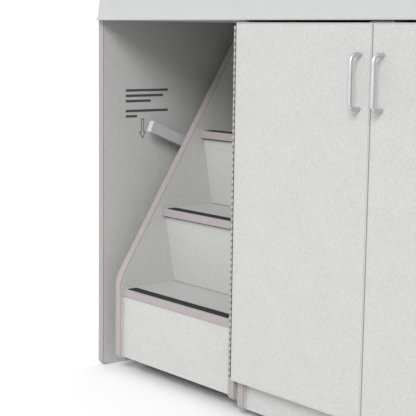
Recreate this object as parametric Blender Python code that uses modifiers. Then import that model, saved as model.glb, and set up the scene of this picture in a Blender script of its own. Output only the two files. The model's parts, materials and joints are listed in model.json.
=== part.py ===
"""Changing-table cabinet with a set of pull-out steps, modelled in metres, +Z up.

Across the width, X runs from the cabinet's left end. The front of the carcass faces -Y.
Every size below is measured from the left end (x), the carcass front (y) and the floor (z).
shift() then moves a point so that the origin is the centre of the base.
"""

import math

import bmesh
import bpy
from mathutils import Matrix, Vector

GAP = 0.0003  # clearance between pieces that touch
EDGE_ROUND = 0.0007  # the round along a band's long edges

# Carcass
WIDTH = 1.232
DEPTH = 0.590
BOARD = 0.0175
BAND = 0.002
PANEL_TOP = 0.8079
BAY_WIDTH = 0.487
CORNER_RADIUS = 0.012
PARTITION_BASE = 0.014
BACK_THICKNESS = 0.015
PARTITION_X = BOARD + BAY_WIDTH
CUPBOARD_X = PARTITION_X + BOARD
CUPBOARD_END = WIDTH - BOARD
BACK_Y = DEPTH - BACK_THICKNESS
FLOOR_PANEL_BASE = 0.079
TOE_SETBACK = 0.0095
TOE_BASE = 0.017
SHELF_BASE = 0.440
SHELF_FRONT = 0.040
GLIDE_RADIUS = 0.011
DECK_BASE = 0.8082
DECK_INSET = 0.0078
DECK_THICKNESS = 0.019

# Moulded top
TOP_LIP_Z = 0.8082
TOP_HEIGHT = 0.914
TOP_SIDE_OVERHANG = 0.010
TOP_FRONT_OVERHANG = 0.0165
TOP_BACK = 0.5960
TOP_CORNER = 0.038
TOP_SHELL = 0.0045
TOP_DRAFT = math.tan(math.radians(4.2))
LIP_HEIGHT = 0.006
LIP_STEP = 0.0012
RIM_WIDTH = 0.036
RIM_ROUND = 0.010
WELL_CORNER = 0.050
WELL_FLOOR_Z = DECK_BASE + DECK_THICKNESS + GAP + TOP_SHELL
PAD_THICKNESS = 0.026
PAD_MARGIN = 0.002
PAD_CORNER = 0.040

# Steps
STRINGER = 0.019
LEFT_GAP = 0.0545
RIGHT_GAP = 0.0102
STEP_FRONT = -0.0015
STRINGER_BASE = 0.027
STRINGER_TOP = 0.785
STRINGER_BACK = 0.520
STRINGER_BEND_RADIUS = 0.075
FIRST_TREAD = 0.1969
RISE = 0.1778
RUN = 0.1131
TREADS = 4
FIRST_NOSING = 0.0043
TREAD_THICKNESS = 0.0175
RISER_THICKNESS = 0.016
FIRST_RISER_BASE = 0.035
FIRST_RISER_SETBACK = 0.0033
RISER_FOOT = 0.1505  # from a nosing back to the foot of the riser standing on that tread
RISER_FOOT_GAP = 0.0012
RISER_HEAD = 0.0090  # from a nosing back to the head of the riser under it
STRIP_DEPTH = 0.025
STRIP_INSET = 0.015
STRIP_SETBACK = 0.0035
STRIP_HEIGHT = 0.0015
EDGE_OFFSET = 0.0326  # height of the stringer edge above the line of nosings
STRETCHER_HEIGHT = 0.110
STRETCHER_BASE = 0.085
ROLLER_RADIUS = 0.0381
ROLLER_WIDTH = 0.020
ROLLER_FRONT_Y = 0.130
ROLLER_REAR_Y = 0.455
AXLE_RADIUS = 0.004
AXLE_CLEARANCE = 0.0004
LEFT_STRINGER_X = BOARD + LEFT_GAP
TREAD_X0 = LEFT_STRINGER_X + STRINGER
RIGHT_STRINGER_X = PARTITION_X - RIGHT_GAP - STRINGER
TREAD_X1 = RIGHT_STRINGER_X

# Release lever: its front end, slope and section
LEVER_X = 0.0443
LEVER_FRONT = (0.1158, 0.5646)
LEVER_SLOPE = math.radians(22)
LEVER_HEIGHT = 0.0254
LEVER_THICKNESS = 0.0127
LEVER_LENGTH = 0.330
LEVER_PIVOT_AT = 0.210
LEVER_TOOTH = 0.014
LEVER_TOOTH_LENGTH = 0.016
CAP_DEPTH = 0.006
CAP_LIP = 0.0008
PIVOT_RADIUS = 0.005
PIVOT_SLEEVE_RADIUS = 0.009
SPRING_RADIUS = 0.0118
SPRING_WIRE = 0.0009
SPRING_TURNS = 5

# Doors and their continuous hinges
DOOR_FRONT = -0.0207
DOOR_BACK = -0.0017
DOOR_BASE = 0.0799
DOOR_TOP = 0.8035
DOOR_EDGE_INSET = 0.0018
DOOR_MEETING_GAP = 0.003
HINGE_RADIUS = 0.0021
HINGE_LEAF = 0.0010
HINGE_PIN_RADIUS = 0.0008
HINGE_BORE_RADIUS = 0.0011
HINGE_AXIS_Y = -0.0216
HINGE_AXIS_INSET = 0.0008  # how far the axis stands outside the frame face
HINGE_BASE = 0.086
HINGE_TOP = 0.797
HINGE_KNUCKLES = 14
FRAME_LEAF_REACH = 0.030
DOOR_LEAF_SETBACK = 0.0005
KNUCKLE_CLEARANCE = 0.0006
PULL_HEIGHT = 0.096
PULL_REACH = 0.025
PULL_RADIUS = 0.004
PULL_BEND = 0.013
PULL_Z = 0.700
PULL_EDGE = 0.0254
MIDLINE = (PARTITION_X + WIDTH) / 2
CATCH_WIDTH = 0.060

FRONT_MOST = DOOR_FRONT - PULL_REACH - PULL_RADIUS
ORIGIN = Vector((WIDTH / 2, (FRONT_MOST + TOP_BACK) / 2, 0))

COLOURS = {
    "laminate": ((0.66, 0.66, 0.65), 0.55, 0.0),
    "edge_band": ((0.55, 0.48, 0.49), 0.45, 0.0),
    "door_band": ((0.62, 0.62, 0.61), 0.45, 0.0),
    "moulding": ((0.70, 0.70, 0.70), 0.30, 0.0),
    "pad_vinyl": ((0.42, 0.46, 0.52), 0.45, 0.0),
    "grip": ((0.02, 0.02, 0.02), 0.85, 0.0),
    "steel": ((0.55, 0.56, 0.57), 0.32, 1.0),
    "hinge_metal": ((0.62, 0.63, 0.63), 0.30, 1.0),
    "lever_paint": ((0.38, 0.38, 0.39), 0.40, 0.2),
    "white_plastic": ((0.82, 0.81, 0.78), 0.35, 0.0),
    "rubber": ((0.05, 0.05, 0.055), 0.80, 0.0),
}


def shift(x, y, z):
    return Vector((x, y, z)) - ORIGIN


def clear_scene():
    for obj in list(bpy.data.objects):
        bpy.data.objects.remove(obj, do_unlink=True)


def new_collection(name):
    collection = bpy.data.collections.new(name)
    bpy.context.scene.collection.children.link(collection)
    return collection


def material(slot):
    found = bpy.data.materials.get(slot)
    if found:
        return found
    colour, roughness, metallic = COLOURS[slot]
    made = bpy.data.materials.new(slot)
    made.use_nodes = True
    shader = made.node_tree.nodes["Principled BSDF"]
    shader.inputs["Base Color"].default_value = (*colour, 1)
    shader.inputs["Roughness"].default_value = roughness
    shader.inputs["Metallic"].default_value = metallic
    return made


def link(name, data, slot, collection):
    obj = bpy.data.objects.new(name, data)
    data.materials.append(material(slot))
    collection.objects.link(obj)
    return obj


def soften(obj, width, segments=2):
    bevel = obj.modifiers.new("Bevel", "BEVEL")
    bevel.width = width
    bevel.segments = segments
    bevel.limit_method = "ANGLE"
    bevel.angle_limit = math.radians(40)
    return obj


def box(name, low, high, slot, collection, bevel=0.0):
    """A box between two corners, with its origin at its middle."""
    low, high = shift(*low), shift(*high)
    bm = bmesh.new()
    bmesh.ops.create_cube(bm, size=1)
    bmesh.ops.scale(bm, vec=high - low, verts=bm.verts)
    mesh = bpy.data.meshes.new(name)
    bm.to_mesh(mesh)
    bm.free()
    obj = link(name, mesh, slot, collection)
    obj.location = (low + high) / 2
    if bevel:
        soften(obj, bevel)
    return obj


def cylinder(name, centre, radius, length, axis, slot, collection, segments=24):
    """A cylinder about axis 'X' or 'Z', with its origin at its middle."""
    bm = bmesh.new()
    bmesh.ops.create_cone(
        bm, cap_ends=True, segments=segments, radius1=radius, radius2=radius, depth=length
    )
    if axis == "X":
        bmesh.ops.rotate(bm, matrix=Matrix.Rotation(math.pi / 2, 3, "Y"), verts=bm.verts)
    mesh = bpy.data.meshes.new(name)
    bm.to_mesh(mesh)
    bm.free()
    mesh.shade_smooth()
    mesh.set_sharp_from_angle(angle=math.radians(35))
    obj = link(name, mesh, slot, collection)
    obj.location = shift(*centre)
    return obj


def arc_corner(before, corner, after, radius, steps):
    """Points of the round that replaces a corner between two straight runs."""
    to_before = (before - corner).normalized()
    to_after = (after - corner).normalized()
    half = to_before.angle(to_after) / 2
    centre = corner + (to_before + to_after).normalized() * (radius / math.sin(half))
    start = corner + to_before * (radius / math.tan(half)) - centre
    end = corner + to_after * (radius / math.tan(half)) - centre
    sweep = start.angle(end)
    return [
        centre
        + (start * math.sin((1 - k / steps) * sweep) + end * math.sin(k / steps * sweep))
        / math.sin(sweep)
        for k in range(steps + 1)
    ]


def rounded_path(points, radii, steps=8):
    """An open path of 2D points whose inner corners are rounded to the given radii."""
    points = [Vector(p) for p in points]
    path = [points[0]]
    for i in range(1, len(points) - 1):
        if radii[i]:
            path += arc_corner(points[i - 1], points[i], points[i + 1], radii[i], steps)
        else:
            path.append(points[i])
    return path + [points[-1]]


def offset_path(path, distance):
    """The path moved to its right-hand side by distance, with mitred corners."""
    normals = []
    for a, b in zip(path, path[1:]):
        run = (b - a).normalized()
        normals.append(Vector((run.y, -run.x)))
    moved = [path[0] + normals[0] * distance]
    for i in range(1, len(path) - 1):
        mitre = (normals[i - 1] + normals[i]).normalized()
        moved.append(path[i] + mitre * (distance / mitre.dot(normals[i])))
    return moved + [path[-1] + normals[-1] * distance]


def outline(name, loops, thickness, centre, plane, slot, collection):
    """A flat outline, with holes if it has more than one loop, extruded about its plane."""
    curve = bpy.data.curves.new(name, "CURVE")
    curve.dimensions = "2D"
    curve.fill_mode = "BOTH"
    curve.extrude = thickness / 2
    for loop in loops:
        spline = curve.splines.new("POLY")
        spline.points.add(len(loop) - 1)
        for point, place in zip(spline.points, loop):
            point.co = (place[0], place[1], 0, 1)
        spline.use_cyclic_u = True
    obj = link(name, curve, slot, collection)
    obj.location = shift(*centre)
    turn = math.pi / 2
    obj.rotation_euler = (turn, 0, turn) if plane == "YZ" else (turn, 0, 0)
    return obj


def as_mesh(obj, collection):
    """The curve object as a mesh object with welded caps, under the same name."""
    bpy.context.view_layer.update()
    evaluated = obj.evaluated_get(bpy.context.evaluated_depsgraph_get())
    mesh = bpy.data.meshes.new_from_object(evaluated)
    name, matrix = obj.name, obj.matrix_world.copy()
    bpy.data.objects.remove(obj, do_unlink=True)
    bm = bmesh.new()
    bm.from_mesh(mesh)
    bmesh.ops.remove_doubles(bm, verts=bm.verts, dist=0.00001)
    bmesh.ops.recalc_face_normals(bm, faces=bm.faces)
    bm.to_mesh(mesh)
    bm.free()
    made = bpy.data.objects.new(name, mesh)
    collection.objects.link(made)
    made.matrix_world = matrix
    return made


def boolean(obj, cutter, operation):
    modifier = obj.modifiers.new(operation.title(), "BOOLEAN")
    modifier.operation = operation
    modifier.object = cutter
    modifier.solver = "EXACT"


def helper(obj, cutters):
    for collection in list(obj.users_collection):
        collection.objects.unlink(obj)
    cutters.objects.link(obj)
    obj.hide_render = True
    obj.display_type = "WIRE"
    return obj


def banded_board(name, x0, thickness, front, rest, collection):
    """A board on edge, with a band along its front path and its outline closed by rest."""
    centre = (x0 + thickness / 2, 0, 0)
    inner = offset_path(front, BAND + GAP)
    board = outline(name, [inner + rest], thickness, centre, "YZ", "laminate", collection)
    strip = front + offset_path(front, BAND)[::-1]
    band = outline(
        name.replace("_panel", "") + "_edge_band", [strip], thickness, centre, "YZ",
        "edge_band", collection,
    )
    soften(as_mesh(band, collection), EDGE_ROUND)
    return board


def side_path(base):
    """The front edge of an upright panel, from its rounded foot to its top."""
    corners = [(CORNER_RADIUS + 0.001, base), (0, base), (0, PANEL_TOP)]
    return rounded_path(corners, [0, CORNER_RADIUS, 0])[2:]


def make_carcass(parts):
    uprights = (
        ("left_side_panel", 0, 0, DEPTH),
        ("partition_panel", PARTITION_X, PARTITION_BASE, BACK_Y - GAP),
        ("right_side_panel", CUPBOARD_END, 0, DEPTH),
    )
    for name, x0, base, back in uprights:
        rest = [Vector((back, PANEL_TOP)), Vector((back, base))]
        rest.append(Vector((CORNER_RADIUS + 0.004, base)))
        banded_board(name, x0, BOARD, side_path(base), rest, parts)
    x0, x1 = CUPBOARD_X + GAP, CUPBOARD_END - GAP
    inner_back = BACK_Y - GAP
    box("back_panel", (BOARD + GAP, BACK_Y, PARTITION_BASE),
        (x1, DEPTH, PANEL_TOP), "laminate", parts)
    box("cupboard_floor_panel", (x0, 0.002, FLOOR_PANEL_BASE),
        (x1, inner_back, FLOOR_PANEL_BASE + BOARD), "laminate", parts)
    box("adjustable_shelf", (x0 + 0.001, SHELF_FRONT, SHELF_BASE),
        (x1 - 0.001, inner_back - 0.002, SHELF_BASE + BOARD), "laminate", parts, 0.0008)
    box("toe_kick_board", (x0, TOE_SETBACK, TOE_BASE),
        (x1, TOE_SETBACK + BOARD, FLOOR_PANEL_BASE - GAP), "laminate", parts)
    corner = TOP_CORNER - DECK_INSET
    faces = [(DECK_INSET, z, corner) for z in (DECK_BASE, DECK_BASE + DECK_THICKNESS)]
    loft("top_deck_panel", faces, "laminate", parts, True)
    middle = PARTITION_X + BOARD / 2
    height = PARTITION_BASE - GAP
    for name, y in (("partition_glide_front", 0.060), ("partition_glide_rear", 0.520)):
        cylinder(name, (middle, y, height / 2), GLIDE_RADIUS, height, "Z", "white_plastic", parts)
    box("door_catch", (MIDLINE - CATCH_WIDTH / 2, 0.003, DECK_BASE - 0.018),
        (MIDLINE + CATCH_WIDTH / 2, 0.038, DECK_BASE - GAP), "white_plastic", parts, 0.0015)


def rounded_rectangle(bm, low, high, radius, z, steps=6):
    """A loop of vertices round a rectangle whose corners are rounded."""
    centres = (
        (high[0] - radius, high[1] - radius, 0),
        (low[0] + radius, high[1] - radius, 90),
        (low[0] + radius, low[1] + radius, 180),
        (high[0] - radius, low[1] + radius, 270),
    )
    loop = []
    for cx, cy, start in centres:
        for k in range(steps + 1):
            angle = math.radians(start + 90 * k / steps)
            x, y = cx + radius * math.cos(angle), cy + radius * math.sin(angle)
            loop.append(bm.verts.new(shift(x, y, z)))
    return loop


def top_profile():
    """(inset from the lip's outer edge, height, corner radius) up the skirt and into the well."""
    wall_inset = LIP_STEP + TOP_DRAFT * (TOP_HEIGHT - TOP_LIP_Z)
    rows = [
        (0.0008, TOP_LIP_Z, TOP_CORNER),
        (0, TOP_LIP_Z + 0.0012, TOP_CORNER),
        (0, TOP_LIP_Z + LIP_HEIGHT - 0.001, TOP_CORNER),
        (LIP_STEP, TOP_LIP_Z + LIP_HEIGHT + 0.0005, TOP_CORNER),
    ]
    for k in range(5):
        turn = math.radians(90 * k / 4)
        rows.append((
            wall_inset + RIM_ROUND * (1 - math.cos(turn)),
            TOP_HEIGHT - RIM_ROUND * (1 - math.sin(turn)),
            TOP_CORNER,
        ))
    inner = wall_inset + RIM_WIDTH
    for k in range(5):
        turn = math.radians(90 * k / 4)
        rows.append((
            inner - RIM_ROUND * (1 - math.sin(turn)),
            TOP_HEIGHT - RIM_ROUND * (1 - math.cos(turn)),
            WELL_CORNER,
        ))
    rows.append((inner + 0.006, WELL_FLOOR_Z + 0.012, WELL_CORNER))
    rows.append((inner + 0.009, WELL_FLOOR_Z + 0.0035, WELL_CORNER))
    rows.append((inner + 0.018, WELL_FLOOR_Z, WELL_CORNER - 0.006))
    return rows


def loft(name, rows, slot, collection, closed):
    """A skin over rounded rectangles, one for each (inset, height, radius) row, capped above."""
    low = (-TOP_SIDE_OVERHANG, -TOP_FRONT_OVERHANG)
    high = (WIDTH + TOP_SIDE_OVERHANG, TOP_BACK)
    bm = bmesh.new()
    loops = [
        rounded_rectangle(
            bm, (low[0] + d, low[1] + d), (high[0] - d, high[1] - d), radius, z
        )
        for d, z, radius in rows
    ]
    for lower, upper in zip(loops, loops[1:]):
        for i in range(len(lower)):
            j = (i + 1) % len(lower)
            bm.faces.new((lower[i], lower[j], upper[j], upper[i]))
    bm.faces.new(loops[-1])
    if closed:
        bm.faces.new(loops[0][::-1])
    mesh = bpy.data.meshes.new(name)
    bm.to_mesh(mesh)
    bm.free()
    mesh.shade_smooth()
    return link(name, mesh, slot, collection)


def make_top(parts):
    top = loft("moulded_top", top_profile(), "moulding", parts, False)
    shell = top.modifiers.new("Shell", "SOLIDIFY")
    shell.thickness = TOP_SHELL
    shell.offset = -1
    d = top_profile()[-1][0]
    base = WELL_FLOOR_Z + GAP
    crown = base + PAD_THICKNESS
    round_off = 0.006
    rows = [
        (d + round_off, base, PAD_CORNER - round_off),
        (d + PAD_MARGIN, base + round_off, PAD_CORNER),
        (d + PAD_MARGIN, crown - round_off, PAD_CORNER),
        (d + PAD_MARGIN + round_off, crown, PAD_CORNER - round_off),
    ]
    loft("changing_pad", rows, "pad_vinyl", parts, True)


def stringer_path():
    """The front edge of a stringer, from its foot round the bend to its top."""
    pitch = RISE / RUN
    nosing_line = FIRST_TREAD + EDGE_OFFSET - pitch * FIRST_NOSING
    bend = (STEP_FRONT, nosing_line + pitch * STEP_FRONT)
    head = ((STRINGER_TOP - nosing_line) / pitch, STRINGER_TOP)
    corners = [
        (0.018, STRINGER_BASE), (STEP_FRONT, STRINGER_BASE), bend, head,
        (head[0] + 0.03, STRINGER_TOP),
    ]
    return rounded_path(corners, [0, 0.014, STRINGER_BEND_RADIUS, 0.025, 0])


def make_stringers(parts):
    front = stringer_path()
    rest = [
        Vector((STRINGER_BACK, STRINGER_TOP - BAND - GAP)),
        Vector((STRINGER_BACK, STRINGER_BASE)),
        Vector((front[0].x + 0.002, STRINGER_BASE)),
    ]
    for name, x0 in (("left_stringer", LEFT_STRINGER_X), ("right_stringer", RIGHT_STRINGER_X)):
        banded_board(name, x0, STRINGER, front, rest, parts)


def make_treads(parts):
    x0, x1 = TREAD_X0 + GAP, TREAD_X1 - GAP
    width = x1 - x0
    middle = (x0 + x1) / 2
    for n in range(TREADS):
        top = FIRST_TREAD + n * RISE
        nose = FIRST_NOSING + n * RUN
        foot = nose + RISER_FOOT
        box(f"tread_{n + 1}", (x0, nose + BAND + GAP, top - TREAD_THICKNESS),
            (x1, foot + RISER_THICKNESS + 0.004, top), "laminate", parts)
        box(f"tread_{n + 1}_nosing_band", (x0, nose, top - TREAD_THICKNESS),
            (x1, nose + BAND, top), "edge_band", parts, EDGE_ROUND)
        box(f"tread_{n + 1}_grip_strip", (x0 + STRIP_INSET, nose + STRIP_SETBACK, top + GAP),
            (x1 - STRIP_INSET, nose + STRIP_SETBACK + STRIP_DEPTH, top + STRIP_HEIGHT),
            "grip", parts)
        head_z = top - TREAD_THICKNESS - GAP
        if n == 0:
            box("riser_1", (x0, nose + FIRST_RISER_SETBACK, FIRST_RISER_BASE),
                (x1, nose + FIRST_RISER_SETBACK + RISER_THICKNESS, head_z), "laminate", parts)
            continue
        foot_y, foot_z = nose - RUN + RISER_FOOT, top - RISE + RISER_FOOT_GAP
        head_y = nose + RISER_HEAD
        board = [
            (foot_y, foot_z), (foot_y + RISER_THICKNESS, foot_z),
            (head_y + RISER_THICKNESS, head_z), (head_y, head_z),
        ]
        outline(f"riser_{n + 1}", [board], width, (middle, 0, 0), "YZ", "laminate", parts)
    box("rear_stretcher", (x0, STRINGER_BACK - BOARD, STRETCHER_BASE),
        (x1, STRINGER_BACK, STRETCHER_BASE + STRETCHER_HEIGHT), "laminate", parts)


def make_rollers(parts, cutters):
    """Two axles between the stringers, each with a roller that turns at either end."""
    x0, x1 = TREAD_X0 + GAP, TREAD_X1 - GAP
    for place, y in (("front", ROLLER_FRONT_Y), ("rear", ROLLER_REAR_Y)):
        cylinder(f"{place}_axle", ((x0 + x1) / 2, y, ROLLER_RADIUS), AXLE_RADIUS, x1 - x0,
                 "X", "steel", parts)
        for side, x in (("left", x0 + 0.016), ("right", x1 - 0.016)):
            name = f"{place}_{side}_roller"
            wheel = cylinder(name, (x, y, ROLLER_RADIUS), ROLLER_RADIUS, ROLLER_WIDTH,
                             "X", "rubber", parts, 40)
            soften(wheel, 0.002)
            bore = cylinder(name + "_bore", (x, y, ROLLER_RADIUS),
                            AXLE_RADIUS + AXLE_CLEARANCE, 2 * ROLLER_WIDTH, "X", "steel", parts)
            boolean(wheel, helper(bore, cutters), "DIFFERENCE")


def lever_point(along, up):
    """(y, z) of a point of the lever, from its front end's middle."""
    cosine, sine = math.cos(LEVER_SLOPE), math.sin(LEVER_SLOPE)
    y, z = LEVER_FRONT
    return (y + along * cosine + up * sine, z - along * sine + up * cosine)


def make_lever(parts, cutters):
    half = LEVER_HEIGHT / 2
    length, tooth = LEVER_LENGTH, LEVER_TOOTH_LENGTH
    shape = [
        (CAP_DEPTH + GAP, -half), (length - tooth, -half), (length - tooth, -half - LEVER_TOOTH),
        (length - 0.004, -half - LEVER_TOOTH), (length, -half - 0.6 * LEVER_TOOTH),
        (length, half), (CAP_DEPTH + GAP, half),
    ]
    pivot = lever_point(LEVER_PIVOT_AT, 0)
    at_pivot = [tuple(Vector(lever_point(*p)) - Vector(pivot)) for p in shape]
    bar = outline("lever_bar", [at_pivot], LEVER_THICKNESS, (LEVER_X, *pivot), "YZ",
                  "lever_paint", parts)
    bar = as_mesh(bar, parts)
    hole = cylinder("lever_bore", (LEVER_X, *pivot), PIVOT_RADIUS + 0.0003,
                    3 * LEVER_THICKNESS, "X", "steel", parts)
    boolean(bar, helper(hole, cutters), "DIFFERENCE")
    edge = half + CAP_LIP
    cap_shape = [(0, -edge), (CAP_DEPTH, -edge), (CAP_DEPTH, edge), (0, edge)]
    at_pivot = [tuple(Vector(lever_point(*p)) - Vector(pivot)) for p in cap_shape]
    cap = outline("lever_end_cap", [at_pivot], LEVER_THICKNESS + 2 * CAP_LIP,
                  (LEVER_X, *pivot), "YZ", "white_plastic", parts)
    soften(as_mesh(cap, parts), 0.001)
    make_pivot(parts, pivot)
    make_keeper(parts)


def make_pivot(parts, pivot):
    """The bolt through the side panel, turned as one profile, and the return spring on it."""
    x0 = BOARD + GAP
    near = LEVER_X - LEVER_THICKNESS / 2 - GAP - x0
    far = LEVER_X + LEVER_THICKNESS / 2 + GAP - x0
    profile = [
        (0, 0), (0, PIVOT_SLEEVE_RADIUS), (near, PIVOT_SLEEVE_RADIUS), (near, PIVOT_RADIUS),
        (far, PIVOT_RADIUS), (far, PIVOT_SLEEVE_RADIUS), (far + 0.004, PIVOT_SLEEVE_RADIUS),
        (far + 0.006, PIVOT_SLEEVE_RADIUS - 0.003), (far + 0.006, 0),
    ]
    mesh = bpy.data.meshes.new("lever_pivot_bolt")
    mesh.from_pydata([(r, 0, -x) for x, r in profile],
                     [(i, i + 1) for i in range(len(profile) - 1)], [])
    bolt = link("lever_pivot_bolt", mesh, "steel", parts)
    bolt.rotation_euler = (0, -math.pi / 2, 0)
    bolt.location = shift(x0, *pivot)
    screw = bolt.modifiers.new("Screw", "SCREW")
    screw.steps = screw.render_steps = 20
    screw.use_merge_vertices = True
    screw.merge_threshold = 0.00001
    coil = bpy.data.curves.new("lever_return_spring", "CURVE")
    coil.dimensions = "3D"
    coil.bevel_depth = SPRING_WIRE
    coil.bevel_resolution = 1
    coil.use_fill_caps = True
    per_turn = 14
    count = per_turn * SPRING_TURNS
    spline = coil.splines.new("POLY")
    spline.points.add(count)
    for k, point in enumerate(spline.points):
        angle = 2 * math.pi * k / per_turn
        along = 0.003 + k / count * 0.015
        point.co = (along, SPRING_RADIUS * math.cos(angle), SPRING_RADIUS * math.sin(angle), 1)
    spring = link("lever_return_spring", coil, "steel", parts)
    spring.location = shift(x0, *pivot)


def make_keeper(parts):
    """The catch on the stringer: an arm that runs under the lever's tooth, with a raised end."""
    tip = lever_point(LEVER_LENGTH - LEVER_TOOTH_LENGTH / 2, -LEVER_HEIGHT / 2 - LEVER_TOOTH)
    top = tip[1] - 0.006
    y0, y1 = tip[0] - 0.030, tip[0] + 0.030
    x1 = LEFT_STRINGER_X - GAP
    section = [
        (x1, top - 0.060), (x1, top), (LEVER_X - 0.008, top), (LEVER_X - 0.008, top - 0.004),
        (x1 - 0.004, top - 0.004), (x1 - 0.004, top - 0.060),
    ]
    middle = (y0 + y1) / 2
    outline("lock_keeper", [section], y1 - y0, (0, middle, 0), "XZ", "steel", parts)


def knuckle_row(name, x, first, radius, room, cutters):
    """Every second knuckle of a continuous hinge, as one mesh of separate cylinders.

    room is what each cylinder has beyond the hinge's pitch, in length.
    """
    pitch = (HINGE_TOP - HINGE_BASE) / HINGE_KNUCKLES
    bm = bmesh.new()
    for k in range(first, HINGE_KNUCKLES, 2):
        z = HINGE_BASE + (k + 0.5) * pitch
        bmesh.ops.create_cone(
            bm, cap_ends=True, segments=14, radius1=radius, radius2=radius,
            depth=pitch + room, matrix=Matrix.Translation(shift(x, HINGE_AXIS_Y, z)),
        )
    mesh = bpy.data.meshes.new(name)
    bm.to_mesh(mesh)
    bm.free()
    return helper(bpy.data.objects.new(name, mesh), cutters)


def make_hinge(side, frame_face, out, parts, cutters):
    """A continuous hinge. out is -1 where it faces the left, 1 where it faces the right."""
    axis_x = frame_face + out * HINGE_AXIS_INSET
    middle = (HINGE_BASE + HINGE_TOP) / 2
    height = HINGE_TOP - HINGE_BASE
    leaves = (
        ("frame", 0, out * (GAP + HINGE_LEAF), out * GAP, FRAME_LEAF_REACH),
        ("door", 1, -out * GAP, -out * (GAP + HINGE_LEAF), DOOR_BACK - DOOR_LEAF_SETBACK),
    )
    for leaf, first, a, b, reach in leaves:
        name = f"{side}_hinge_{leaf}_leaf"
        low_x, high_x = sorted((frame_face + a, frame_face + b))
        low = (low_x, HINGE_AXIS_Y, HINGE_BASE)
        plate = box(name, low, (high_x, reach, HINGE_TOP), "hinge_metal", parts)
        relief = knuckle_row(f"{name}_relief", axis_x, 1 - first,
                             HINGE_RADIUS + KNUCKLE_CLEARANCE, GAP, cutters)
        boolean(plate, relief, "DIFFERENCE")
        knuckles = knuckle_row(f"{name}_knuckles", axis_x, first, HINGE_RADIUS, -GAP, cutters)
        boolean(plate, knuckles, "UNION")
        bore = cylinder(f"{name}_bore", (axis_x, HINGE_AXIS_Y, middle), HINGE_BORE_RADIUS,
                        2 * height, "Z", "hinge_metal", parts, 12)
        boolean(plate, helper(bore, cutters), "DIFFERENCE")
    cylinder(f"{side}_hinge_pin", (axis_x, HINGE_AXIS_Y, middle), HINGE_PIN_RADIUS, height,
             "Z", "hinge_metal", parts, 12)


def make_pull(name, x, parts):
    """A round bar bent into a D, its two legs standing on the door."""
    half = PULL_HEIGHT / 2
    base = DOOR_FRONT - GAP
    reach = base - PULL_REACH
    corners = [(base, PULL_Z - half), (reach, PULL_Z - half), (reach, PULL_Z + half),
               (base, PULL_Z + half)]
    path = rounded_path(corners, [0, PULL_BEND, PULL_BEND, 0], 5)
    curve = bpy.data.curves.new(name, "CURVE")
    curve.dimensions = "3D"
    curve.bevel_depth = PULL_RADIUS
    curve.bevel_resolution = 2
    curve.use_fill_caps = True
    spline = curve.splines.new("POLY")
    spline.points.add(len(path) - 1)
    for point, (y, z) in zip(spline.points, path):
        point.co = (*shift(x, y, z), 1)
    link(name, curve, "steel", parts)


def make_door(side, hinge_x, out, parts):
    """A door with a band round its edges, from its hinge to the meeting gap."""
    hinge_edge = hinge_x - out * DOOR_EDGE_INSET
    free_edge = MIDLINE + out * DOOR_MEETING_GAP / 2
    x0, x1 = sorted((hinge_edge, free_edge))
    thickness = DOOR_BACK - DOOR_FRONT
    centre = (0, (DOOR_BACK + DOOR_FRONT) / 2, 0)

    def rectangle(inset):
        return [
            (x0 + inset, DOOR_BASE + inset), (x1 - inset, DOOR_BASE + inset),
            (x1 - inset, DOOR_TOP - inset), (x0 + inset, DOOR_TOP - inset),
        ]

    outline(f"{side}_door", [rectangle(BAND + GAP)], thickness, centre, "XZ", "laminate", parts)
    ring = [rectangle(0), rectangle(BAND)]
    band = outline(f"{side}_door_edge_band", ring, thickness, centre, "XZ", "door_band", parts)
    soften(as_mesh(band, parts), EDGE_ROUND)
    make_pull(f"{side}_door_pull", free_edge + out * PULL_EDGE, parts)


def main():
    clear_scene()
    parts = new_collection("changing_table_with_steps")
    cutters = new_collection("cutters")
    make_carcass(parts)
    make_top(parts)
    make_stringers(parts)
    make_treads(parts)
    make_rollers(parts, cutters)
    make_lever(parts, cutters)
    for side, face, out in (("left", PARTITION_X, -1), ("right", WIDTH, 1)):
        make_hinge(side, face, out, parts, cutters)
        make_door(side, face, out, parts)


main()
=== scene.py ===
"""Looks for the changing-table cabinet with pull-out steps.

Materials, the pieces that are finer than their CAD solids, the light and the camera. Lengths are
in metres, and pieces take their places from the CAD nodes.
"""

import json
import math

import bmesh
import bpy
from mathutils import Matrix, Vector, noise


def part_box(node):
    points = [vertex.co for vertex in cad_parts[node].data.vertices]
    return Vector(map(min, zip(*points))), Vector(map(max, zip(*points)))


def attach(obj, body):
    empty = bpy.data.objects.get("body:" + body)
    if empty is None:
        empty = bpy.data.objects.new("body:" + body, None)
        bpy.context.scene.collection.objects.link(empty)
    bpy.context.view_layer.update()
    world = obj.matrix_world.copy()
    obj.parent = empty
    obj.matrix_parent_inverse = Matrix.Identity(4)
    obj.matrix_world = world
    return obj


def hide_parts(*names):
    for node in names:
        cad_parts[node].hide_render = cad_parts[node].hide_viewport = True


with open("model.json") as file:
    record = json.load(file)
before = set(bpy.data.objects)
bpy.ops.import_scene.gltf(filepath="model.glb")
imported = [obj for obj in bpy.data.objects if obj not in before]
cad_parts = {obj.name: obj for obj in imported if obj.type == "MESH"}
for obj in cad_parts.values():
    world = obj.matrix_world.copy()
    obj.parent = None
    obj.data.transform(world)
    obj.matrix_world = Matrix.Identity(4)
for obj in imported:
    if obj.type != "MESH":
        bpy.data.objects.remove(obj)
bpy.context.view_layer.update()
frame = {"nodes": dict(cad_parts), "record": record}

# Camera: where it stands, and how it is turned and rolled, in degrees
CAMERA_PLACE = (1.7047, -1.8614, 0.7785)
CAMERA_AZIMUTH = 50.39
CAMERA_PITCH = 8.15
CAMERA_ROLL = 0.77
CAMERA_LENS = 104.55

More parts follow.
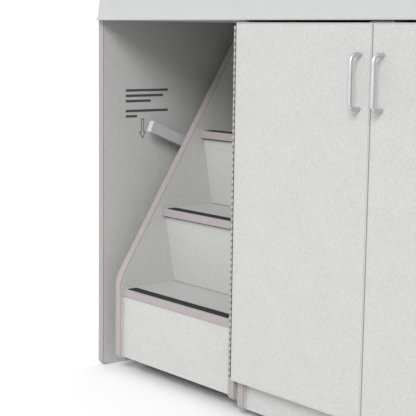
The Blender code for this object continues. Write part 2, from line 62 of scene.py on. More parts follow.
# Moulded top
TOP_SHELL = 0.0045  # wall thickness
TOP_DRAFT = math.tan(math.radians(4.2))
LIP_HEIGHT = 0.006
LIP_STEP = 0.0012
LIP_PROFILE = (  # (inset, height) from the lip's outer edge and the top's base
    (0.0008, 0), (0.0002, 0.0004), (0, 0.0012), (0, LIP_HEIGHT - 0.0014),
    (0.0003, LIP_HEIGHT - 0.0006), (LIP_STEP, LIP_HEIGHT + 0.0003),
    (LIP_STEP + 0.0004, LIP_HEIGHT + 0.0016),
)
RIM_WIDTH = 0.036
RIM_ROUND = 0.010
TOP_CORNER = 0.038
WELL_CORNER = 0.050
WELL_DEPTH = 0.0820
WELL_DRAFT = 0.006  # how far the well's wall leans in from rim to floor
WELL_COVE = 0.012  # the hollow round where that wall meets the floor
WELL_FLOOR_CORNER = WELL_CORNER - 0.3 * WELL_COVE
ARC_STEPS = 10  # steps in a quarter round
CORNER_STEPS = 16  # steps round one corner of the top

# Changing pad
PAD_CORNER = 0.040
PAD_CROWN = 0.009
PAD_BULGE = 0.004
PAD_SHOULDER = 0.014  # how far in from the seam the face has risen by two thirds
PAD_EDGE = 0.55  # height of the seam's upper edge, as a part of half the thickness
PAD_RIPPLE = 0.0006
PAD_RIPPLES = 18  # ripples per metre
PAD_CELLS = (200, 96, 8)  # faces along the length, the width and the height
PAD_PEBBLES = 620  # pebbles per metre in the vinyl's grain
CHANNEL_DEPTH = 0.0045
CHANNEL_WIDTH = 0.009
PIPING_RADIUS = 0.0022
PIPING_RISE = 0.15  # above mid-height, as a part of half the thickness
PIPING_CORNER_STEPS = 12

# Continuous hinges
KNUCKLE = 0.00635
KNUCKLE_GAP = 0.0005
KNUCKLE_RADIUS = 0.0021
KNUCKLE_CHAMFER = 0.0003
KNUCKLE_SIDES = 16
LEAF_CLEARANCE = 0.0030  # from the pin's axis back to the flat leaf
LEAF_FLATNESS = 0.0005  # how near the rear a CAD vertex is to count as the flat leaf's
SCREWS_PER_LEAF = 8
SCREW_INSET = 0.011  # from the leaf's rear edge
SCREW_SIDES = 20
SCREW_HEAD = (  # (height, radius) from the leaf to the bottom of the socket
    (0.0, 0.0036), (0.0003, 0.0034), (0.0006, 0.0026), (0.0007, 0.0012), (0.0002, 0.0009),
)

# Door pulls
PULL_BEND = 0.013

# Steps
RISER_JOINT = 0.0035  # opening under the nosing, left by a riser cut square
RIB_PITCH = 0.0025
RIB_HEIGHT = 0.0007
RIB_HALF_WIDTH = 0.32 * RIB_PITCH
RIB_SINK = 0.0001  # how far a rib reaches into its strip
RIB_ROUND = 0.00025
TYRE_SHOULDER = 0.004
TYRE_CHAMFER = 0.0012
TYRE_SIDES = 64
HUB_RATIO = 0.62  # hub radius over tyre radius
HUB_BORE = 0.0052
HUB_BOSS = 0.010
HUB_BOSS_FLARE = 0.002  # how much wider the boss is at the web
HUB_BOSS_PROUD = 0.0006  # past the tyre's side
HUB_WEB_SUNK = 0.0030  # behind the tyre's side
HUB_FLANGE_PROUD = 0.0004
HUB_FLANGE_FOOT = 0.004  # flange width at the web
HUB_FLANGE_FACE = 0.0025
HUB_SIDES = 48

# Release lever
SPRING_WIRE = 0.0009
SPRING_TURNS = 5
SPRING_STEPS = 40  # points in a turn

# Printed notice on the left panel, from the panel's front edge and the floor. Each bar is
# (how many lines down, length).
NOTICE_BARS = ((0, 0.124), (1, 0.109), (2, 0.073), (3.85, 0.124), (4.85, 0.033))
NOTICE_FRONT = 0.064
NOTICE_TOP = 0.6477
NOTICE_LINE = 0.0125
NOTICE_BAR_HEIGHT = 0.0057
ARROW_MIDDLE = 0.1131
ARROW_TOP = 0.580
ARROW_SHOULDER = 0.549
ARROW_TIP = 0.5351
ARROW_HALF_SHAFT = 0.0035
ARROW_HALF_HEAD = 0.0082
ARROW_LINE = 0.0018
NOTICE_THICKNESS = 0.0002
NOTICE_CLEARANCE = 0.00005

# Colours, linear
LAMINATE_GREY = (0.38, 0.38, 0.376)
BAND_LILAC = (0.272, 0.239, 0.246)
MOULDING_GREY = (0.355, 0.358, 0.358)
PAD_BLUE = (0.255, 0.295, 0.355)
LEVER_GREY = (0.36, 0.362, 0.37)
CAP_WHITE = (0.43, 0.428, 0.417)
NICKEL = (0.50, 0.495, 0.485)
ZINC = (0.56, 0.57, 0.58)
GRIP_BLACK = (0.003, 0.003, 0.0033)
GRIP_GRIT = (0.013, 0.013, 0.014)
TYRE_BLACK = (0.035, 0.035, 0.037)
TYRE_DUST = (0.095, 0.093, 0.090)
INK_DARK = (0.030, 0.030, 0.032)
INK_LIGHT = (0.075, 0.075, 0.078)
FLOOR_GREY = (0.72, 0.72, 0.72)
DOOR_BAND_LIFT = 1.05  # the door band's grey over the laminate's
KNUCKLE_PAINTED_SHADE = 0.55  # painted shade: the frame leaf's knuckles over the door leaf's, the same nickel darkened to stand in for shadow in the gaps beside the door's edge

# Light
SKY = 1.05
KEY_FROM = (1.9, -2.8, 2.2)
KEY_ANGLE = 26
KEY_POWER = 3.05
FLOOR_HALF_SIZE = 12
FLOOR_DROP = 0.0005  # keeps the floor just clear of the feet

SLOTS = {p["node"]: p["material_slot"] for p in frame["record"]["subparts"]}


# ---------------------------------------------------------------- materials


class Surface:
    """A Principled material, with short calls for the nodes that feed it."""

    def __init__(self, name, metallic=0.0):
        self.material = bpy.data.materials.new(name)
        self.material.use_nodes = True
        self.tree = self.material.node_tree
        self.shader = self.tree.nodes["Principled BSDF"]
        self.shader.inputs["Metallic"].default_value = metallic
        self.place = self.add("ShaderNodeTexCoord").outputs["Object"]

    def add(self, kind):
        return self.tree.nodes.new(kind)

    def link(self, source, target):
        self.tree.links.new(source, target)

    def noise(self, size, stretch=(1, 1, 1), detail=2.0):
        """Noise whose features are about size metres across, longer where stretch is above 1."""
        mapping = self.add("ShaderNodeMapping")
        mapping.inputs["Scale"].default_value = [1 / (size * s) for s in stretch]
        self.link(self.place, mapping.inputs["Vector"])
        texture = self.add("ShaderNodeTexNoise")
        texture.inputs["Scale"].default_value = 1.0
        texture.inputs["Detail"].default_value = detail
        self.link(mapping.outputs["Vector"], texture.inputs["Vector"])
        return texture.outputs["Fac"]

    def mottle(self, size, stretch=(1, 1, 1), detail=2.0, low=0.30, high=0.70):
        """Noise with the middle of its range, low to high, widened to run from 0 to 1."""
        return self.spread(self.noise(size, stretch, detail), low, high)

    def maths(self, operation, a, b):
        made = self.add("ShaderNodeMath")
        made.operation = operation
        for socket, value in zip(made.inputs, (a, b)):
            if isinstance(value, (int, float)):
                socket.default_value = value
            else:
                self.link(value, socket)
        return made.outputs["Value"]

    def average(self, a, b):
        return self.maths("MULTIPLY", self.maths("ADD", a, b), 0.5)

    def spread(self, value, low, high, out_low=0.0, out_high=1.0):
        """The value's range from low to high, widened to out_low to out_high."""
        made = self.add("ShaderNodeMapRange")
        settings = (low, high, out_low, out_high)
        for socket, number in zip(("From Min", "From Max", "To Min", "To Max"), settings):
            made.inputs[socket].default_value = number
        self.link(value, made.inputs["Value"])
        return made.outputs["Result"]

    def threads(self, width, length):
        """Short threads along all three axes, so that every flat face shows a weave."""
        runs = [self.noise(width, [length if i == axis else 1 for i in range(3)], 1.0)
                for axis in range(3)]
        total = self.maths("ADD", self.maths("ADD", runs[0], runs[1]), runs[2])
        return self.spread(total, 1.25, 1.75)

    def colour(self, value, dark, light):
        mix = self.add("ShaderNodeMix")
        mix.data_type = "RGBA"
        mix.inputs["A"].default_value = (*dark, 1)
        mix.inputs["B"].default_value = (*light, 1)
        self.link(value, mix.inputs["Factor"])
        self.link(mix.outputs["Result"], self.shader.inputs["Base Color"])

    def tones(self, value, colour, darkest, lightest):
        """The colour, times darkest where the value is 0 and times lightest where it is 1."""
        self.colour(value, shade(colour, darkest), shade(colour, lightest))

    def roughness(self, value, low, high):
        self.link(self.spread(value, 0, 1, low, high), self.shader.inputs["Roughness"])

    def bump(self, value, height):
        made = self.add("ShaderNodeBump")
        made.inputs["Strength"].default_value = 1.0
        made.inputs["Distance"].default_value = height
        self.link(value, made.inputs["Height"])
        self.link(made.outputs["Normal"], self.shader.inputs["Normal"])


def shade(colour, factor):
    """The colour, darker below 1 and lighter above it."""
    return tuple(c * factor for c in colour)


def laminate():
    """Matt grey laminate with a printed linen weave, slightly cloudy."""
    made = Surface("laminate_linen")
    threads = made.threads(0.0012, 6)
    clouds = made.mottle(0.0040, detail=3.0)
    haze = made.mottle(0.060)
    tone = made.maths("ADD", made.maths("MULTIPLY", threads, 0.55),
                      made.maths("MULTIPLY", clouds, 0.35))
    tone = made.maths("ADD", tone, made.maths("MULTIPLY", haze, 0.10))
    made.tones(tone, LAMINATE_GREY, 0.86, 1.14)
    made.roughness(clouds, 0.50, 0.62)
    made.bump(threads, 0.00006)
    return made.material


def edge_band():
    """Satin lilac-grey band with a faint grain."""
    made = Surface("edge_band_lilac")
    grain = made.threads(0.0008, 9)
    clouds = made.mottle(0.012, detail=3.0)
    made.tones(made.average(grain, clouds), BAND_LILAC, 0.94, 1.06)
    made.roughness(clouds, 0.36, 0.48)
    made.bump(grain, 0.00003)
    return made.material


def door_band():
    """Satin light grey band round the doors, the same grain as the lilac one."""
    made = Surface("edge_band_grey")
    grain = made.threads(0.0008, 9)
    made.tones(grain, shade(LAMINATE_GREY, DOOR_BAND_LIFT), 0.96, 1.04)
    made.roughness(grain, 0.36, 0.46)
    made.bump(grain, 0.00003)
    return made.material


def moulding():
    """Light grey moulded plastic with a fine orange peel."""
    made = Surface("moulding_grey")
    peel = made.noise(0.0012, detail=1.0)
    clouds = made.mottle(0.05, detail=3.0)
    made.tones(clouds, MOULDING_GREY, 0.985, 1.015)
    made.roughness(clouds, 0.38, 0.46)
    made.bump(peel, 0.000012)
    return made.material


def pad_vinyl():
    """Blue-grey vinyl with a pebbled grain, over foam."""
    made = Surface("pad_vinyl_grained")
    cells = made.add("ShaderNodeTexVoronoi")
    cells.inputs["Scale"].default_value = PAD_PEBBLES
    made.link(made.place, cells.inputs["Vector"])
    pebbles = made.spread(cells.outputs["Distance"], 0.0, 0.75)
    clouds = made.mottle(0.045, detail=3.0)
    made.tones(clouds, PAD_BLUE, 0.985, 1.015)
    made.roughness(pebbles, 0.38, 0.52)
    made.bump(pebbles, 0.00018)
    return made.material


def grip():
    """Black anti-slip rubber with a mineral sparkle."""
    made = Surface("grip_rubber")
    grit = made.mottle(0.0007, low=0.35, high=0.65)
    made.colour(grit, GRIP_BLACK, GRIP_GRIT)
    made.roughness(grit, 0.70, 0.92)
    made.bump(grit, 0.0002)
    return made.material


def metal(name, colour, along, roughness):
    """Metal brushed along one axis ("x", "y" or "z"), with its (lowest, highest) roughness."""
    made = Surface(name, metallic=1.0)
    stretch = [40 if axis == along else 1 for axis in "xyz"]
    lines = made.mottle(0.0005, stretch)
    clouds = made.mottle(0.015)
    made.tones(lines, colour, 0.90, 1.08)
    made.roughness(made.average(lines, clouds), *roughness)
    made.bump(lines, 0.00002)
    return made.material


def lever_paint():
    """Grey powder coat with a fine pebble."""
    made = Surface("lever_powder_coat")
    pebble = made.mottle(0.0009, low=0.35, high=0.65)
    clouds = made.mottle(0.02)
    made.tones(made.average(pebble, clouds), LEVER_GREY, 0.93, 1.07)
    made.roughness(pebble, 0.36, 0.50)
    made.bump(pebble, 0.00008)
    return made.material


def white_plastic():
    """White moulded plastic with faint flow marks."""
    made = Surface("white_plastic_moulded")
    flow = made.mottle(0.008, (1, 3, 1), 3.0)
    made.tones(flow, CAP_WHITE, 0.96, 1.02)
    made.roughness(flow, 0.30, 0.42)
    made.bump(made.noise(0.0012, detail=1.0), 0.00003)
    return made.material


def rubber():
    """Dark grey tyre rubber, dusty in places."""
    made = Surface("tyre_rubber")
    dust = made.mottle(0.006, detail=4.0, low=0.40)
    made.colour(dust, TYRE_BLACK, TYRE_DUST)
    made.roughness(dust, 0.62, 0.86)
    made.bump(made.noise(0.0008, detail=2.0), 0.00010)
    return made.material


def notice_ink():
    """Dark grey printing ink on film, a little uneven."""
    made = Surface("notice_ink")
    specks = made.mottle(0.0010, low=0.35, high=0.65)
    made.colour(specks, INK_DARK, INK_LIGHT)
    made.roughness(specks, 0.40, 0.55)
    return made.material


def floor_paint():
    """The pale studio floor."""
    made = Surface("floor_pale")
    clouds = made.mottle(0.4, detail=3.0)
    made.tones(clouds, FLOOR_GREY, 0.99, 1.01)
    made.roughness(clouds, 0.75, 0.85)
    return made.material


MATERIALS = {
    "laminate": laminate(),
    "edge_band": edge_band(),
    "door_band": door_band(),
    "moulding": moulding(),
    "pad_vinyl": pad_vinyl(),
    "grip": grip(),
    "steel": metal("zinc_brushed", ZINC, "x", (0.28, 0.44)),
    "hinge_metal": metal("nickel_brushed", NICKEL, "z", (0.24, 0.38)),
    "lever_paint": lever_paint(),
    "white_plastic": white_plastic(),
    "rubber": rubber(),
}
PULL_METAL = metal("pull_brushed", ZINC, "z", (0.26, 0.40))
# Painted shade: the frame leaf's knuckles get a darkened copy of the nickel, standing in for
# shadow between knuckles and door edge; the door leaf's keep the plain nickel
KNUCKLE_LIT_AND_SHADED_METALS = {
    "frame": metal("knuckle_painted_shade", shade(NICKEL, KNUCKLE_PAINTED_SHADE), "z", (0.34, 0.48)),
    "door": metal("knuckle_light", NICKEL, "z", (0.24, 0.38)),
}
BEVELS = {"laminate": 0.0005, "white_plastic": 0.0004}


def finish_cad_nodes():
    """Gives each CAD node its material, and the boards a fine rounded edge."""
    for name, obj in frame["nodes"].items():
        slot = SLOTS[name]
        obj.data.materials.clear()
        obj.data.materials.append(MATERIALS[slot])
        if slot in BEVELS:
            soften(obj, BEVELS[slot])


# ---------------------------------------------------------------- mesh tools


def soften(obj, width, segments=2):
    """A fine rounded edge, as a modifier."""
    bevel = obj.modifiers.new("fine_edges", "BEVEL")
    bevel.width = width
    bevel.segments = segments
    bevel.limit_method = "ANGLE"
    bevel.angle_limit = math.radians(50)


def piece(name, bm, slot, body, replaced=(), material=None, smooth_below=35):
    """A finished piece made from bm: its material, the body it rides on and what it stands for."""
    mesh = bpy.data.meshes.new(name)
    bmesh.ops.recalc_face_normals(bm, faces=bm.faces)
    bm.to_mesh(mesh)
    bm.free()
    mesh.shade_smooth()
    mesh.set_sharp_from_angle(angle=math.radians(smooth_below))
    return place(name, mesh, slot, body, replaced, material)


def place(name, data, slot, body, replaced=(), material=None):
    """An object for a mesh or curve: its material, its body and what it stands for."""
    data.materials.append(material or MATERIALS[slot])
    obj = bpy.data.objects.new(name, data)
    bpy.context.scene.collection.objects.link(obj)
    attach(obj, body)
    if replaced:
        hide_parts(*replaced)
    return obj


def add_box(bm, low, high):
    low, high = Vector(low), Vector(high)
    made = bmesh.ops.create_cube(bm, size=1)
    bmesh.ops.scale(bm, vec=high - low, verts=made["verts"])
    bmesh.ops.translate(bm, vec=(low + high) / 2, verts=made["verts"])


def add_turned(bm, centre, axis, profile, segments):
    """A closed turned body. The profile is (distance along the axis, radius), tip to tip."""
    axis = Vector(axis).normalized()
    side = axis.orthogonal().normalized()
    other = axis.cross(side)
    centre = Vector(centre)
    rings = []
    for along, radius in profile:
        ring = []
        for k in range(segments):
            turn = 2 * math.pi * k / segments
            spoke = side * math.cos(turn) + other * math.sin(turn)
            ring.append(bm.verts.new(centre + axis * along + spoke * radius))
        rings.append(ring)
    for lower, upper in zip(rings, rings[1:]):
        for k in range(segments):
            after = (k + 1) % segments
            bm.faces.new((lower[k], lower[after], upper[after], upper[k]))
    bm.faces.new(rings[0][::-1])
    bm.faces.new(rings[-1])


def quarter_turns():
    """The angles of a quarter round, from 0 to 90 degrees, in radians."""
    return [math.radians(90 * k / ARC_STEPS) for k in range(ARC_STEPS + 1)]


def rounded_rectangle(low, high, radius, steps):
    """(x, y) points round a rectangle whose corners are rounded."""
    centres = (
        (high[0] - radius, high[1] - radius, 0),
        (low[0] + radius, high[1] - radius, 90),
        (low[0] + radius, low[1] + radius, 180),
        (high[0] - radius, low[1] + radius, 270),
    )
    loop = []
    for cx, cy, start in centres:
        for k in range(steps + 1):
            angle = math.radians(start + 90 * k / steps)
            loop.append((cx + radius * math.cos(angle), cy + radius * math.sin(angle)))
    return loop


def tube(name, points, radius, slot, body, replaced=(), closed=False, material=None):
    """A round bar along points, as a curve with filled ends."""
    curve = bpy.data.curves.new(name, "CURVE")
    curve.dimensions = "3D"
    curve.bevel_depth = radius
    curve.bevel_resolution = 6
    curve.use_fill_caps = not closed
    spline = curve.splines.new("POLY")
    spline.points.add(len(points) - 1)
    for point, place_at in zip(spline.points, points):
        point.co = (*place_at, 1)
    spline.use_cyclic_u = closed
    spline.use_smooth = True
    return place(name, curve, slot, body, replaced, material)


# ---------------------------------------------------------------- the top


def top_rows(low, high):
    """(inset from the lip's outer edge, height, corner radius), up the skirt and into the well."""
    base, top = low.z, high.z
    floor = top - WELL_DEPTH
    wall = LIP_STEP + TOP_DRAFT * (top - base)
    rows = [(inset, base + height, TOP_CORNER) for inset, height in LIP_PROFILE]
    for turn in quarter_turns():
        inset = wall + RIM_ROUND * (1 - math.cos(turn))
        rows.append((inset, top - RIM_ROUND * (1 - math.sin(turn)), TOP_CORNER))
    inner = wall + RIM_WIDTH
    for turn in quarter_turns():
        inset = inner - RIM_ROUND * (1 - math.sin(turn))
        rows.append((inset, top - RIM_ROUND * (1 - math.cos(turn)), WELL_CORNER))
    for turn in quarter_turns():
        inset = inner + WELL_DRAFT + WELL_COVE * (1 - math.cos(turn))
        height = floor + WELL_COVE * (1 - math.sin(turn))
        rows.append((inset, height, WELL_FLOOR_CORNER))
    return rows


def make_top():
    """The moulded top as one shell: its lip, skirt, rolled rim and well."""
    low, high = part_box("moulded_top")
    bm = bmesh.new()
    loops = []
    for inset, z, radius in top_rows(low, high):
        corners = ((low.x + inset, low.y + inset), (high.x - inset, high.y - inset))
        flat = rounded_rectangle(*corners, radius, CORNER_STEPS)
        loops.append([bm.verts.new((x, y, z)) for x, y in flat])
    for lower, upper in zip(loops, loops[1:]):
        for i in range(len(lower)):
            j = (i + 1) % len(lower)
            bm.faces.new((lower[i], lower[j], upper[j], upper[i]))
    bm.faces.new(loops[-1])
    top = piece("moulded_top_shell", bm, "moulding", "cabinet", ["moulded_top"],
                smooth_below=60)
    shell = top.modifiers.new("wall", "SOLIDIFY")
    shell.thickness = TOP_SHELL
    shell.offset = -1


def round_corner(x, y, half_x, half_y, radius):
    """Moves a point of a rectangle's corner square into the quarter disc that rounds it."""
    u = (abs(x) - (half_x - radius)) / radius
    v = (abs(y) - (half_y - radius)) / radius
    if u <= 0 or v <= 0:
        return x, y
    round_u = u * math.sqrt(1 - v * v / 2)
    round_v = v * math.sqrt(1 - u * u / 2)
    return (math.copysign(half_x - radius + radius * round_u, x),
            math.copysign(half_y - radius + radius * round_v, y))


def cushion_grid():
    """A cube from -1 to 1 on each axis, cut into PAD_CELLS faces."""
    bm = bmesh.new()
    bmesh.ops.create_cube(bm, size=2)
    for axis, count in enumerate(PAD_CELLS):
        along = [e for e in bm.edges
                 if abs((e.verts[0].co - e.verts[1].co)[axis]) > 1e-6]
        bmesh.ops.subdivide_edges(bm, edges=along, cuts=count - 1, use_grid_fill=True)
    return bm


def make_pad():
    """The changing pad: a crowned cushion with pulled-in seams and two sewn channels."""
    low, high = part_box("changing_pad")
    middle = (low + high) / 2
    half = (high - low) / 2
    half_x, half_y = half.x - PIPING_RADIUS, half.y - PIPING_RADIUS
    bm = cushion_grid()
    channels = [middle.x + side * half.x / 3 for side in (-1, 1)]
    for vert in bm.verts:
        u, v, w = vert.co
        pinch = 1 - abs(w)
        x, y = round_corner(u * half_x, v * half_y, half_x, half_y, PAD_CORNER)
        edge = min(half_x - abs(x), half_y - abs(y))
        rim = 1 - math.exp(-max(edge, 0) / PAD_SHOULDER)
        bulge = PAD_BULGE * (pinch ** 0.5)
        scale_x = (half_x - PAD_BULGE + bulge) / half_x
        scale_y = (half_y - PAD_BULGE + bulge) / half_y
        crown = PAD_CROWN * (1 - u ** 4) * (1 - v ** 4)
        x, y = x * scale_x, y * scale_y
        if w > 0:
            dip = sum(math.exp(-(((middle.x + x) - c) / CHANNEL_WIDTH) ** 2) for c in channels)
            ripple = PAD_RIPPLE * noise.noise(Vector((x * PAD_RIPPLES, y * PAD_RIPPLES, 1.7)))
            rise = half.z * (PAD_EDGE + (1 - PAD_EDGE) * rim) + crown * rim + ripple * rim
            z = w * (rise - CHANNEL_DEPTH * dip * rim)
        else:
            z = w * half.z
        vert.co = (middle.x + x, middle.y + y, middle.z + z)
    pad = piece("changing_pad_cushion", bm, "pad_vinyl", "cabinet", ["changing_pad"],
                smooth_below=70)


def make_piping():
    """The piping along the pad's seam, a little above mid-height."""
    low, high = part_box("changing_pad")
    middle = (low + high) / 2
    half = (high - low) / 2
    inset = PAD_BULGE / 2
    corners = ((low.x + inset, low.y + inset), (high.x - inset, high.y - inset))
    seam = rounded_rectangle(*corners, PAD_CORNER - inset, PIPING_CORNER_STEPS)
    points = [(x, y, middle.z + PIPING_RISE * half.z) for x, y in seam]
    tube("changing_pad_piping", points, PIPING_RADIUS, "pad_vinyl", "cabinet", closed=True)


# ---------------------------------------------------------------- hinges and door furniture


def knuckle_profile():
    """A knuckle's (distance along the pin, radius) from end to end."""
    half = (KNUCKLE - KNUCKLE_GAP) / 2
    chamfer = KNUCKLE_CHAMFER
    return [
        (-half, KNUCKLE_RADIUS - chamfer), (-half + chamfer, KNUCKLE_RADIUS),
        (half - chamfer, KNUCKLE_RADIUS), (half, KNUCKLE_RADIUS - chamfer),
    ]


def make_hinge(side, bodies):
    """A continuous hinge: two flat leaves, each rolled into every second knuckle."""
    pin_low, pin_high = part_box(f"{side}_hinge_pin")
    axis = (pin_low + pin_high) / 2
    count = round((pin_high.z - pin_low.z) / KNUCKLE)
    pitch = (pin_high.z - pin_low.z) / count
    for first, (leaf, body) in enumerate(bodies):
        node = f"{side}_hinge_{leaf}_leaf"
        low, high = plate_box(node)
        plate, knuckles = bmesh.new(), bmesh.new()
        add_box(plate, (low.x, axis.y + LEAF_CLEARANCE, low.z), high)
        for k in range(first, count, 2):
            z = pin_low.z + (k + 0.5) * pitch
            half = (pitch - KNUCKLE_GAP) / 2
            add_turned(knuckles, (axis.x, axis.y, z), (0, 0, 1), knuckle_profile(),
                       KNUCKLE_SIDES)
            add_box(knuckles, (low.x, axis.y, z - half),
                    (high.x, axis.y + LEAF_CLEARANCE, z + half))
        piece(f"{side}_hinge_{leaf}_leaf_plate", plate, "hinge_metal", body, [node])
        # The frame leaf's knuckles take the darkened nickel copy: painted shade, not a different
        # metal
        piece(f"{side}_hinge_{leaf}_leaf_knuckles", knuckles, "hinge_metal", body, [node],
              material=KNUCKLE_LIT_AND_SHADED_METALS[leaf])


def plate_box(node):
    """The box of a hinge leaf's flat plate, without its knuckles."""
    verts = [v.co for v in frame["nodes"][node].data.vertices]
    reach = max(v.y for v in verts)
    plate = [v for v in verts if v.y > reach - LEAF_FLATNESS]
    low = Vector((min(v.x for v in plate), reach, min(v.z for v in plate)))
    high = Vector((max(v.x for v in plate), reach, max(v.z for v in plate)))
    return low, high


def make_leaf_screws():
    """Screw heads along each hinge's frame leaf, on the side away from the door."""
    for side, out in (("left", -1), ("right", 1)):
        low, high = plate_box(f"{side}_hinge_frame_leaf")
        x = low.x if out < 0 else high.x
        bm = bmesh.new()
        for k in range(SCREWS_PER_LEAF):
            z = low.z + (k + 0.5) * (high.z - low.z) / SCREWS_PER_LEAF
            add_turned(bm, (x, high.y - SCREW_INSET, z), (out, 0, 0), SCREW_HEAD, SCREW_SIDES)
        piece(f"{side}_hinge_screws", bm, "hinge_metal", "cabinet")


def make_pull(side):
    """A bent bar pull: two legs into the door and an upright between two quarter rounds."""
    low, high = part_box(f"{side}_door_pull")
    radius = (high.x - low.x) / 2
    x = (low.x + high.x) / 2
    top, bottom, reach = high.z - radius, low.z + radius, low.y + radius
    points = [(x, high.y, top)]
    for turn in quarter_turns():
        points.append((x, reach + PULL_BEND * (1 - math.sin(turn)),
                       top - PULL_BEND * (1 - math.cos(turn))))
    for turn in quarter_turns():
        points.append((x, reach + PULL_BEND * (1 - math.cos(turn)),
                       bottom + PULL_BEND * (1 - math.sin(turn))))
    points.append((x, high.y, bottom))
    tube(f"{side}_door_pull_bar", points, radius, "steel", f"{side}_door",
         [f"{side}_door_pull"], material=PULL_METAL)


# ---------------------------------------------------------------- steps and lever


def make_riser(number):
    """A raked riser cut square at its head, which leaves a dark joint under the nosing."""
    node = f"riser_{number}"
    bm = bmesh.new()
    bm.from_mesh(frame["nodes"][node].data)
    low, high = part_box(node)
    middle = (low.z + high.z) / 2
    head = [v for v in bm.verts if v.co.z > middle]
    foot = [v for v in bm.verts if v.co.z < middle]
    face_y = min(v.co.y for v in head)
    foot_y = min(v.co.y for v in foot)
    lean = (foot_y - face_y) / (high.z - low.z)
    for vert in head:
        if vert.co.y < face_y + RISER_JOINT:
            vert.co.z -= RISER_JOINT
            vert.co.y += RISER_JOINT * lean
    piece(f"{node}_board", bm, "laminate", "steps", [node])


def make_grip_strip(number):
    """A ribbed strip: its ribs run along the nosing."""
    node = f"tread_{number}_grip_strip"
    low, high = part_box(node)
    bm = bmesh.new()
    add_box(bm, low, (high.x, high.y, high.z - RIB_HEIGHT))
    count = int((high.y - low.y) / RIB_PITCH)
    for k in range(count):
        y = low.y + (k + 0.5) * (high.y - low.y) / count
        add_box(bm, (low.x, y - RIB_HALF_WIDTH, high.z - RIB_HEIGHT - RIB_SINK),
                (high.x, y + RIB_HALF_WIDTH, high.z))
    strip = piece(f"{node}_ribbed", bm, "grip", "steps", [node])
    soften(strip, RIB_ROUND, 1)


def make_roller(place_name):
    """A tyre with rounded shoulders round a recessed plastic hub."""
    node = f"{place_name}_roller"
    low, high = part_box(node)
    centre = (low + high) / 2
    radius = (high.z - low.z) / 2
    half = (high.x - low.x) / 2
    hub = HUB_RATIO * radius
    tyre = [
        (-half, hub), (-half, radius - TYRE_SHOULDER),
        (-half + TYRE_CHAMFER, radius - TYRE_CHAMFER), (-half + TYRE_SHOULDER, radius),
    ]
    tyre += [(-along, r) for along, r in reversed(tyre)]
    bm = bmesh.new()
    add_turned(bm, centre, (1, 0, 0), tyre, TYRE_SIDES)
    piece(f"{node}_tyre", bm, "rubber", node, [node])
    boss, web, flange = half + HUB_BOSS_PROUD, half - HUB_WEB_SUNK, half + HUB_FLANGE_PROUD
    hub_profile = [
        (-boss, HUB_BORE), (-boss, HUB_BOSS), (-web, HUB_BOSS + HUB_BOSS_FLARE),
        (-web, hub - HUB_FLANGE_FOOT), (-flange, hub - HUB_FLANGE_FACE), (-flange, hub),
    ]
    hub_profile += [(-along, r) for along, r in reversed(hub_profile)]
    bm = bmesh.new()
    add_turned(bm, centre, (1, 0, 0), hub_profile, HUB_SIDES)
    piece(f"{node}_hub", bm, "white_plastic", node)


def make_lever_spring():
    """The return spring as a fine coil round the pivot."""
    low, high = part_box("lever_return_spring")
    centre = (low + high) / 2
    radius = (high.z - low.z) / 2 - SPRING_WIRE
    count = SPRING_TURNS * SPRING_STEPS
    start, end = low.x + SPRING_WIRE, high.x - SPRING_WIRE
    points = []
    for k in range(count + 1):
        angle = 2 * math.pi * k / SPRING_STEPS
        points.append((start + (end - start) * k / count,
                       centre.y + radius * math.cos(angle), centre.z + radius * math.sin(angle)))
    tube("lever_return_spring_coil", points, SPRING_WIRE, "steel", "cabinet",
         ["lever_return_spring"])


# ---------------------------------------------------------------- notice


def make_notice():
    """Generic grey bars and an outlined arrow, as thin printed film on the left panel."""
    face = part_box("left_side_panel")[1].x
    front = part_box("left_side_edge_band")[0].y
    x0, x1 = face + NOTICE_CLEARANCE, face + NOTICE_THICKNESS
    bm = bmesh.new()
    start = front + NOTICE_FRONT
    for line, length in NOTICE_BARS:
        z = NOTICE_TOP - NOTICE_LINE * line
        add_box(bm, (x0, start, z - NOTICE_BAR_HEIGHT / 2),
                (x1, start + length, z + NOTICE_BAR_HEIGHT / 2))
    middle = front + ARROW_MIDDLE
    corners = [
        (-ARROW_HALF_SHAFT, ARROW_TOP), (ARROW_HALF_SHAFT, ARROW_TOP),
        (ARROW_HALF_SHAFT, ARROW_SHOULDER), (ARROW_HALF_HEAD, ARROW_SHOULDER),
        (0, ARROW_TIP), (-ARROW_HALF_HEAD, ARROW_SHOULDER), (-ARROW_HALF_SHAFT, ARROW_SHOULDER),
    ]
    for a, b in zip(corners, corners[1:] + corners[:1]):
        add_stroke(bm, (x0, x1), (middle + a[0], a[1]), (middle + b[0], b[1]), ARROW_LINE)
    piece("notice_bars_and_arrow", bm, "lever_paint", "cabinet", material=notice_ink())


def add_stroke(bm, span, a, b, width):
    """A flat stroke between two (y, z) points, span[0] to span[1] deep in x."""
    a, b = Vector(a), Vector(b)
    along = (b - a).normalized()
    across = Vector((-along.y, along.x)) * width / 2
    along = along * width / 2
    corners = [a - along - across, b + along - across, b + along + across, a - along + across]
    near = [bm.verts.new((span[0], *c)) for c in corners]
    far = [bm.verts.new((span[1], *c)) for c in corners]
    bm.faces.new(near[::-1])
    bm.faces.new(far)
    for i in range(4):
        j = (i + 1) % 4
        bm.faces.new((near[i], near[j], far[j], far[i]))


# ---------------------------------------------------------------- studio


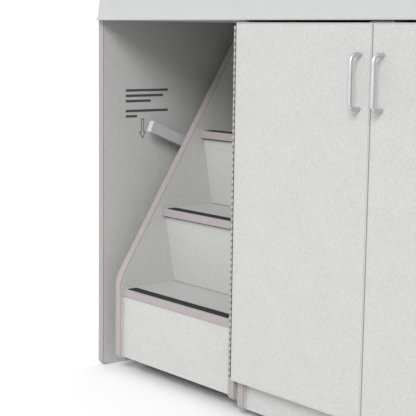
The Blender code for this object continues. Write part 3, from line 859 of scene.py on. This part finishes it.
def make_camera():
    """The photograph's viewpoint. Azimuth 0 looks along +Y and grows to the left."""
    azimuth, pitch, roll = (
        math.radians(v) for v in (CAMERA_AZIMUTH, CAMERA_PITCH, CAMERA_ROLL))
    right = Vector((math.cos(azimuth), math.sin(azimuth), 0))
    forward = Vector((-math.sin(azimuth) * math.cos(pitch),
                      math.cos(azimuth) * math.cos(pitch), -math.sin(pitch)))
    up = right.cross(forward)
    across = right * math.cos(roll) + up * math.sin(roll)
    upward = up * math.cos(roll) - right * math.sin(roll)
    data = bpy.data.cameras.new("camera")
    data.lens = CAMERA_LENS
    camera = bpy.data.objects.new("camera", data)
    bpy.context.scene.collection.objects.link(camera)
    turn = Matrix((across, upward, -forward)).transposed().to_4x4()
    camera.matrix_world = Matrix.Translation(CAMERA_PLACE) @ turn
    bpy.context.scene.camera = camera


def add_key():
    """One far, broad light: its angle across, in degrees, is what softens the shadows."""
    data = bpy.data.lights.new("key", "SUN")
    data.angle = math.radians(KEY_ANGLE)
    data.energy = KEY_POWER
    light = bpy.data.objects.new("key", data)
    bpy.context.scene.collection.objects.link(light)
    light.location = KEY_FROM
    light.rotation_euler = Vector(KEY_FROM).to_track_quat("Z", "Y").to_euler()


def make_studio():
    """An even white sky, the key light and a pale floor."""
    scene = bpy.context.scene
    scene.view_settings.view_transform = "Standard"
    world = bpy.data.worlds.new("studio")
    scene.world = world
    world.use_nodes = True
    sky = world.node_tree.nodes["Background"]
    sky.inputs["Color"].default_value = (1, 1, 1, 1)
    sky.inputs["Strength"].default_value = SKY
    add_key()
    bm = bmesh.new()
    bmesh.ops.create_grid(bm, x_segments=1, y_segments=1, size=FLOOR_HALF_SIZE)
    mesh = bpy.data.meshes.new("studio_floor")
    bm.to_mesh(mesh)
    bm.free()
    mesh.materials.append(floor_paint())
    floor = bpy.data.objects.new("studio_floor", mesh)
    scene.collection.objects.link(floor)
    floor.location.z = -FLOOR_DROP


make_camera()
finish_cad_nodes()
make_top()
make_pad()
make_piping()
make_hinge("left", (("frame", "cabinet"), ("door", "left_door")))
make_hinge("right", (("frame", "cabinet"), ("door", "right_door")))
make_leaf_screws()
make_pull("left")
make_pull("right")
for number in range(2, 5):
    make_riser(number)
for number in range(1, 5):
    make_grip_strip(number)
for end in ("front", "rear"):
    for hand in ("left", "right"):
        make_roller(f"{end}_{hand}")
make_lever_spring()
make_notice()
make_studio()
